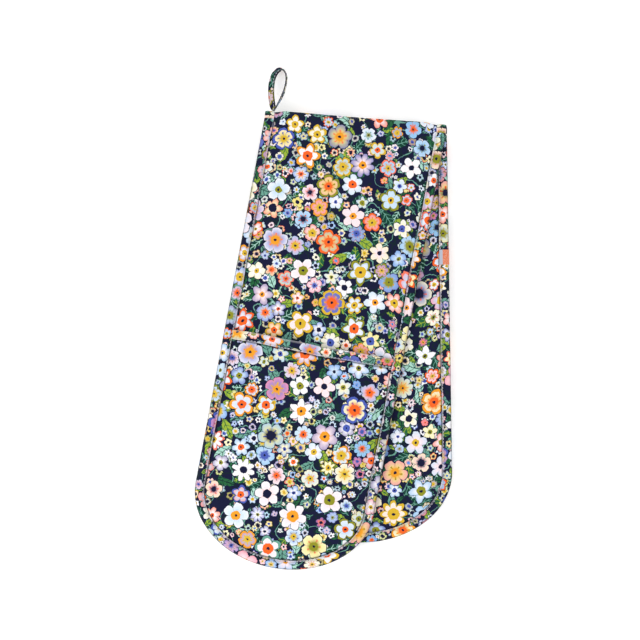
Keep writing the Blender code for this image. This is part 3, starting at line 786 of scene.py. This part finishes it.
def foldBinding(name, side):
    # the same tape where it turns round the end of the fold
    turn = np.linspace(0, math.pi, 17)[:, None]
    mix = turn / math.pi
    d, h = bindingProfile[:, 0][None], bindingProfile[:, 1][None]
    r = side * (glove["width"] / 2 - d)
    lead = smooth(mix / glove["foldLead"])
    across = alongCrest(rear, r) * (1 - lead) + alongCrest(front, r) * lead
    # the turned edge stands out nearly as far as the face, which squares the corner: it nears its full reach
    # as 1 - exp(-h / foldRound), and its two ends run back into the edge tapes
    top, softness = glove["faceHeight"], binding["foldRound"]
    out = top * (foldBulge(across) - binding["foldInset"]) * (1 - np.exp(-h / softness))
    out = out / (1 - math.exp(-top / softness))
    ahead = out * np.sin(turn) - binding["foldEnds"] * (np.sin(turn) < 0.01)
    rings = foldAt + across[..., None] * crest + ahead[..., None] * outward
    rings = rings - (h * np.cos(turn))[..., None] * up
    piece = addTube(name + "_tape", rings, ringMap(runLength(rings), bindingProfile, front), cotton)
    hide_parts(name)
    foldBlend(piece)


# The stitching: a short tube of thread for each stitch
stitch = {"pitch": 3.4, "length": 2.7, "radius": 0.3, "sides": 6}


def addStitches(name, lines):
    # each line is (points, normals); a stitch is a short tube that dips into the cloth at both ends
    allPoints, allFaces, first = [], [], 0
    sides, stations = stitch["sides"], np.array([-0.5, -0.38, 0.0, 0.38, 0.5])
    radii = np.array([0.25, 0.8, 1.0, 0.8, 0.25]) * stitch["radius"]
    dips = np.array([-0.45, -0.12, 0.1, -0.12, -0.45])
    turn = np.linspace(0, 2 * math.pi, sides + 1)[:-1]
    for line, normals in lines:
        run = np.concatenate([[0], np.cumsum(np.linalg.norm(np.diff(line, axis=0), axis=1))])
        count = max(int(run[-1] / stitch["pitch"]), 1)
        at = (np.arange(count) + 0.5) * run[-1] / count
        where = np.stack([np.interp(at, run, line[:, k]) for k in range(3)], -1)
        ahead = np.stack([np.interp(at + 0.5, run, line[:, k]) for k in range(3)], -1)
        back = np.stack([np.interp(at - 0.5, run, line[:, k]) for k in range(3)], -1)
        tangent = ahead - back
        tangent /= np.linalg.norm(tangent, axis=1)[:, None]
        normal = np.stack([np.interp(at, run, normals[:, k]) for k in range(3)], -1)
        sideways = np.cross(tangent, normal)
        sideways /= np.linalg.norm(sideways, axis=1)[:, None]
        centre = where[:, None] + tangent[:, None] * (stations * stitch["length"])[None, :, None]
        centre = centre + normal[:, None] * dips[None, :, None]
        spoke = (sideways[:, None, None] * np.cos(turn)[None, None, :, None]
                 + normal[:, None, None] * np.sin(turn)[None, None, :, None])
        points = centre[:, :, None] + spoke * radii[None, :, None, None]
        index = first + np.arange(count * len(stations) * sides).reshape(count, len(stations), sides)
        wrap = np.concatenate([index, index[:, :, :1]], 2)
        quads = np.stack([wrap[:, :-1, :-1], wrap[:, 1:, :-1], wrap[:, 1:, 1:], wrap[:, :-1, 1:]], -1)
        allPoints.append(points.reshape(-1, 3))
        allFaces += quads.reshape(-1, 4).tolist()
        allFaces += index[:, 0, ::-1].tolist() + index[:, -1].tolist()
        first += count * len(stations) * sides
    points = np.vstack(allPoints)
    return addPiece(name, points, np.array(allFaces, object), points[:, :2], threadFinish)


def edgeStitches(half):
    # one row near the binding's inner edge, seen on both sides of the strip
    s, angle = edgePath(half, 2.0, startAt=binding["stitchBegins"])
    lines = []
    for h, normal in ((6.15, 1), (0.98, -1)):
        d = np.full(len(s), binding["stitchInset"])
        sp, rp = edgePoint(half, s, angle, d)
        points = place(half, sp, rp, bindingHeight(half, sp, rp, d, np.full(len(s), h)))
        lines.append((points, np.repeat((up * normal * half["side"])[None], len(s), 0)))
    piece = addStitches(half["name"] + "_edge_thread", lines)
    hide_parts(half["name"] + "_edge_stitching")
    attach(piece, half["body"])


for half in (front, rear):
    edgeBinding(half)
    edgeStitches(half)
foldBinding("fold_binding_left", -1)
foldBinding("fold_binding_right", 1)
print("binding ready")


# The pockets: quilted panels caught in the binding, each made as a left and a right side of one cloth
pocket = {"step": 4.0, "edge": 5.2, "low": 7.0, "high": 14.7, "archWidth": 40.0, "panel": 3.9, "seam": 1.5,
          "hem": 9.5, "mouthInset": 4.0, "mouthTape": 21.0, "stitchAt": 8.6, "clothBegins": 1.4,
          "waddingBegins": 10.0, "lining": 0.5, "gap": 0.08, "fill": 0.5}

# distances from the mouth at which a panel has a row
rowsAt = (1.4, 2.6, 4, 6, 8, 9.2, 10, 10.6, 11.4, 12.6, 14.5, 17, 20)


def pocketTop(half, s, r):
    # arched from the side seam to full height, dipping where the mouth's tape is stitched down
    d = edgeDistance(half, s, r)
    t = np.clip((d - pocket["edge"]) / pocket["archWidth"], 0, 1)
    arch = np.sin(t * math.pi / 2) ** 1.3
    fromMouth = s - half["mouth"]
    dip = 0.9 * np.exp(-((fromMouth - pocket["hem"] - 0.5) / 4.0) ** 2) * smooth((d - 8) / 10)
    wave = (0.9 * settle(half, s, r) + pucker(half, s, r) + mouthRipple(half, s, r)) * smooth((d - 7) / 14)
    height = pocket["low"] + (pocket["high"] - pocket["low"]) * arch - dip + wave - 0.4
    # the lower pocket lies flat on the table where it would bulge through it
    rest = foldAt[2] - 0.2 - 0.75 * smooth((12 - fromMouth) / 4)
    return np.minimum(height, rest) if half["side"] < 0 else height


def mouthRipple(half, s, r):
    # small gathers square to the mouth's seam
    fromMouth = s - half["mouth"]
    ripple = np.sin(r / 4.1 + 0.9 * np.sin(r / 13)) + 0.8 * np.sin(r / 9.3 + 2)
    return 0.2 * ripple * np.exp(-((fromMouth - pocket["hem"]) / 9.0) ** 2)


def pocketThickness(half, s, r):
    # the panel's layers are pressed together in the seams and stand full between them
    d = edgeDistance(half, s, r)
    body = smooth((d - 8) / 10) * smooth((s - half["mouth"] - 7) / 9)
    return pocket["seam"] + (pocket["panel"] - pocket["seam"]) * body


def pocketBlend(piece, half, side):
    # works out the mouth's points at the side seam and the middle, which are not used, and bakes the piece's
    # placement into its mesh
    seam = side * (glove["width"] / 2 - glove["bindingWidth"])
    start, end = (place(half, half["mouth"], r, pocket["low"]) / 1000 for r in (seam, side * 6.0))
    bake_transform(piece)


def mouthEdge(half, r):
    # the mouth runs straight across with the slight waver of a hand-folded hem
    return 0.5 * np.sin(r / 19 + half["side"]) + 0.25 * np.sin(r / 7.7)


def hemProfile():
    # (s from the mouth, height from the panel's middle): the outside leg, the turned edge, the inside leg
    outside = [(9.7, 0.35), (9.3, 1.1), (8.6, 0.9), (7.4, 1.15), (5.0, 1.4), (2.4, 1.4), (0.8, 0.95),
               (0.1, 0.0)]
    under = [(0.8, -0.85), (2.4, -1.15), (5.0, -1.15), (8.0, -0.9), (9.5, -0.9), (9.7, -0.5)]
    inside = [(8.0, -0.4), (5.0, -0.55), (2.4, -0.5), (1.2, 0.0), (2.4, 0.5), (5.0, 0.6), (8.0, 0.35)]
    return np.array(outside + under + inside)


def pocketPanel(half, side, name, begin, inset, upper, lower, material):
    # one side of a panel's layer, from the mouth to the tip, between two heights
    s, r = halfGrid(half, side, inset, pocket["step"], [half["mouth"] + d for d in rowsAt if d >= begin])
    s = s + mouthEdge(half, r) * smooth(1 - (s - half["mouth"]) / 30)
    fromHem = s - half["mouth"] - mouthEdge(half, r) - 10.2
    # painted shade along the binding's seam and in the groove below the mouth's tape
    shade = np.minimum(seamShade(half, s, r), -glove["seamShade"] * np.exp(-(fromHem / 0.8) ** 2))
    start = glove["faceHeight"] / -(half["along"] @ outward)
    flat = np.stack([r, half["side"] * (s - start) + cutAt["pocket"]], -1)
    return addSheet(name, [(place(half, s, r, upper(s, r)), place(half, s, r, lower(s, r)), flat, shade,
                            ("start", "end", "edge", "middle"))], material)


def hemMiddle(half, s, r):
    # height of the middle of the pressed hem
    return pocketTop(half, s, r) - pocket["seam"] / 2


def mouthTape(half, side, name):
    # the mouth's tape, from the middle to the side seam, pressed flatter where it enters the seam
    profile = hemProfile()
    run = np.linspace(0, glove["width"] / 2 - pocket["mouthInset"], 46)
    r = side * run[:, None] + 0 * profile[None, :, 0]
    s = half["mouth"] + profile[None, :, 0] + mouthEdge(half, r)
    loft = 0.55 + 0.45 * smooth((glove["width"] / 2 - np.abs(r) - 5) / 8)
    h = hemMiddle(half, s, r) + profile[None, :, 1] * loft
    flat = ringMap(90 + side * run, profile, half) + cutAt["mouth"]
    # painted highlight along the mouth's turned edge and the tape's lower edge, painted shade at the
    # stitching
    paintedLightValues = np.interp(profile[:, 0], [0.1, 0.8, 1.6, 5.0, 7.4, 8.6, 9.3, 9.7],
                      [0.3, 0.25, 0.0, 0.0, -0.2, -0.35, 0.4, 0.4])
    return addTube(name, place(half, s, r, h), flat, cotton, paintedLightValues[None] + 0 * h)


def mouthThread(half, side, name):
    # a row of stitches on each side of the mouth's tape
    r = side * np.linspace(1.0, glove["width"] / 2 - glove["bindingWidth"] - 1, 60)
    s = half["mouth"] + pocket["stitchAt"] + mouthEdge(half, r)
    middle = hemMiddle(half, s, r)
    lines = [(place(half, s, r, middle + lift), np.repeat((up * sign * half["side"])[None], len(r), 0))
             for lift, sign in ((0.98, 1), (-1.0, -1))]
    return addStitches(name, lines)


def makePocket(half):
    # from the outside in: printed cloth, wadding and lining, then the tape and the thread of the mouth
    name, edge, begin, gap = half["pocket"], pocket["edge"], pocket["clothBegins"], pocket["gap"]
    top = lambda s, r: pocketTop(half, s, r)
    clothUnder = lambda s, r: top(s, r) - glove["cloth"]
    under = lambda s, r: top(s, r) - pocketThickness(half, s, r)
    liningTop = lambda s, r: under(s, r) + pocket["lining"]
    for side, word in ((-1, "left"), (1, "right")):
        cloth = pocketPanel(half, side, f"{name}_cloth_{word}", begin, edge, top, clothUnder, cotton)
        wadding = pocketPanel(half, side, f"{name}_batting_{word}", pocket["waddingBegins"], edge + 3,
                              lambda s, r: clothUnder(s, r) - gap,
                              lambda s, r: liningTop(s, r) + gap, batting)
        inner = pocketPanel(half, side, f"{name}_lining_{word}", begin, edge, liningTop, under, lining)
        for piece, node, slot in ((cloth, "fabric", "printed_cotton"), (inner, "lining", "lining_cotton")):
            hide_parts(f"{name}_{node}")
        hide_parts(name + "_wadding")
        tape = mouthTape(half, side, f"{name}_mouth_tape_{word}")
        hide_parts(name + "_mouth_binding")
        thread = mouthThread(half, side, f"{name}_mouth_thread_{word}")
        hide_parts(name + "_mouth_stitching")
        for piece in (cloth, wadding, inner, tape, thread):
            pocketBlend(piece, half, side)


makePocket(front)
makePocket(rear)
print("pockets ready")


# The hanging loop: a narrow tape folded lengthwise and edge stitched, both ends sewn into the crest
loop = {"offset": -83.2, "root": 0.9, "height": 43.2, "width": 14.4, "lean": 5.6, "droop": 10.6,
        "tape": 6.6, "thick": 1.45, "cutWidth": 14.5, "leftTilt": 62.0, "rightTilt": 10.0,
        "firstTurn": 0.17, "steps": 96}

# the tape folded in half along its length, open at its stitched edge: (across, through)
loopProfile = np.array([
    (3.3, 0.62), (1.5, 0.78), (-1.0, 0.8), (-2.6, 0.72), (-3.2, 0.4), (-3.35, 0.0), (-3.2, -0.4),
    (-2.6, -0.72), (-1.0, -0.8), (1.5, -0.78), (3.3, -0.62), (3.3, -0.1), (1.5, -0.12), (-1.0, -0.12),
    (-2.5, -0.12), (-2.7, 0.0), (-2.5, 0.12), (-1.0, 0.12), (1.5, 0.12), (3.3, 0.1)])


def loopLine(turn):
    # a teardrop: rises as (1 - cos), spreads as sin * sin of half the turn, leans and droops to its far end
    rise = loop["height"] * (1 - np.cos(turn)) / 2
    sideways = -loop["width"] / 2 / 0.77 * np.sin(turn) * np.sin(turn / 2)
    lean = math.radians(loop["lean"])
    ahead = outward * math.cos(lean) + crest * math.sin(lean)
    beside = crest * math.cos(lean) - outward * math.sin(lean)
    droop = loop["droop"] * (rise / loop["height"]) ** 1.5
    root = (crestMiddle + outward * loop["root"]) * (1, 1, 0) + crest * loop["offset"] + up * foldAt[2]
    return root + rise[..., None] * ahead + sideways[..., None] * beside - droop[..., None] * up


def makeLoop():
    # the folded tape carried along the teardrop, each strand with its own tilt between its two ends
    turn = np.linspace(loop["firstTurn"], 2 * math.pi - loop["firstTurn"], loop["steps"])
    line = loopLine(turn)
    tangent = loopLine(turn + 0.01) - loopLine(turn - 0.01)
    tangent /= np.linalg.norm(tangent, axis=1)[:, None]
    flat = np.cross(tangent, up)
    flat /= np.linalg.norm(flat, axis=1)[:, None]
    upright = np.cross(flat, tangent)
    rise = loop["height"] * (1 - np.cos(turn)) / 2
    left = turn < math.pi
    risen = smooth(np.where(left, (rise + 1) / 5, (rise - 3) / 12))
    amount = np.abs(np.sin(turn)) ** np.where(left, 0.3, 0.8) * risen
    tilt = np.radians(np.where(left, loop["leftTilt"], loop["rightTilt"])) * amount
    wide = upright * np.cos(tilt)[:, None] + flat * np.sin(tilt)[:, None]
    thick = flat * np.cos(tilt)[:, None] - upright * np.sin(tilt)[:, None]
    a, b = loopProfile[:, 0], loopProfile[:, 1]
    rings = line[:, None] + wide[:, None] * a[None, :, None] + thick[:, None] * b[None, :, None]
    run = np.concatenate([[0], np.cumsum(np.linalg.norm(np.diff(line, axis=0), axis=1))])
    around = np.concatenate([[0], np.cumsum(np.hypot(np.diff(a), np.diff(b)))])
    alongCloth, acrossCloth = cutAt["loop"]
    tapeMap = np.stack([run[:, None] + 0 * around[None] + alongCloth,
                        around[None] + 0 * run[:, None] + acrossCloth], -1)
    # painted shade along its two edges, where the cloth turns under, and slightly darker all over
    paintedLightValues = np.interp(a, [-3.4, -3.0, -2.2, 2.0, 3.0, 3.4], [-0.75, -0.6, -0.15, -0.15, -0.6, -0.7])
    piece = addTube("hanging_loop_tape", rings, tapeMap, cotton, paintedLightValues[None] + 0 * run[:, None])
    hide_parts("hanging_loop", "hanging_loop_ends")
    # a row of stitches on each face, 1.3 mm in from the open edge
    rows = [(line + thick * sign * (loop["thick"] / 2 + 0.02) + wide * (loop["tape"] / 2 - 1.3), thick * sign)
            for sign in (1, -1)]
    thread = addStitches("hanging_loop_thread", rows)
    for tapePiece in (piece, thread):
        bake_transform(tapePiece)


makeLoop()


def makeTag():
    # the woven label, folded over the edge of the lower half
    edge = glove["width"] / 2 + 0.35
    t = np.linspace(0, math.pi, 9)[1:-1]
    rows, radius, bend = tag["legRows"], tag["turnRadius"], edge - 3.3
    # long leg on the back cloth, a round turn over the edge, short leg underneath
    d = np.concatenate([np.linspace(edge - tag["leg"], bend, rows), bend + 3.3 * np.sin(t),
                        np.linspace(bend, edge - tag["hiddenLeg"], 4)])
    h = np.concatenate([0.35 - 0.35 * np.linspace(0, 1, rows) + 0.02, radius - radius * np.cos(t),
                        np.full(4, 2 * radius)])
    s = np.linspace(tag["start"], tag["start"] + tag["length"], 19)[:, None]
    curl = 0.18 * np.sin((s - tag["start"]) / tag["length"] * math.pi * 1.3)
    outer = place(rear, s, d[None], h[None] + 0 * s - np.where(np.arange(len(d)) < rows, 0.1, 0) * curl)
    direction = np.stack([np.gradient(d), np.gradient(h)], -1)
    direction /= np.linalg.norm(direction, axis=1)[:, None]
    innerD, innerH = d - direction[:, 1] * tag["cloth"], h + direction[:, 0] * tag["cloth"]
    inner = place(rear, s, innerD[None], innerH[None] + 0 * s)
    run = np.concatenate([[0], np.cumsum(np.hypot(np.diff(d), np.diff(h)))])
    flat = np.stack([run[None] + 0 * s, s + 0 * run[None]], -1)
    rims = ("start", "end", "edge", "middle")
    piece = addSheet("side_label", [(outer, inner, flat, 0 * outer[..., 0], rims)], tagCloth)
    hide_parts("side_tag")
    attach(piece, "rear_half")


makeTag()
print("loop and label ready")


def makeRoom():
    # opal acrylic lit a little from below, as under small goods, which keeps their shadows pale
    material, tree, shader = newMaterial("matt opal acrylic table")
    point = addNode(tree, "TexCoord")["Object"]
    grain = addNode(tree, "TexNoise", {"Vector": point, "Scale": 900.0, "Detail": 2.0})[0]
    bump = addNode(tree, "Bump", {"Strength": 0.05, "Distance": 0.0001, "Height": grain})[0]
    tree.links.new(bump, shader.inputs["Normal"])
    shader.inputs["Base Color"].default_value = linear("#f8f8f8")
    shader.inputs["Roughness"].default_value = 0.9
    shader.inputs["Emission Color"].default_value = (1, 1, 1, 1)
    shader.inputs["Emission Strength"].default_value = 0.25
    mesh = bpy.data.meshes.new("floor")
    size = 4.0
    corners = [(-size, -size, 0), (size, -size, 0), (size, size, 0), (-size, size, 0)]
    mesh.from_pydata(corners, [], [(0, 1, 2, 3)])
    mesh.materials.append(material)
    floor = bpy.data.objects.new("floor", mesh)
    scene.collection.objects.link(floor)

    world = bpy.data.worlds.new("studio")
    world.use_nodes = True
    world.node_tree.nodes["Background"].inputs["Color"].default_value = (1, 1, 1, 1)
    world.node_tree.nodes["Background"].inputs["Strength"].default_value = 0.95
    scene.world = world
    for name, at, size, power in (("key", (-1.1, -0.9, 1.3), 0.8, 11.0), ("fill", (1.1, 0.6, 1.7), 1.6, 3.0)):
        light = bpy.data.lights.new(name, "AREA")
        light.shape = "DISK"
        light.size = size
        light.energy = power
        lamp = bpy.data.objects.new(name, light)
        lamp.location = at
        direction = -np.array(at)
        lamp.rotation_euler = (math.acos(-direction[2] / np.linalg.norm(direction)), 0,
                               math.atan2(direction[1], direction[0]) - math.pi / 2)
        scene.collection.objects.link(lamp)

    camera = bpy.data.cameras.new("camera")
    camera.sensor_width = 36
    camera.lens = 169
    camera.clip_end = 20
    eye = bpy.data.objects.new("camera", camera)
    eye.location = (-0.004, -0.0015, 3.02)
    scene.collection.objects.link(eye)
    scene.camera = eye
    scene.view_settings.view_transform = "Standard"


makeRoom()
print("room ready")
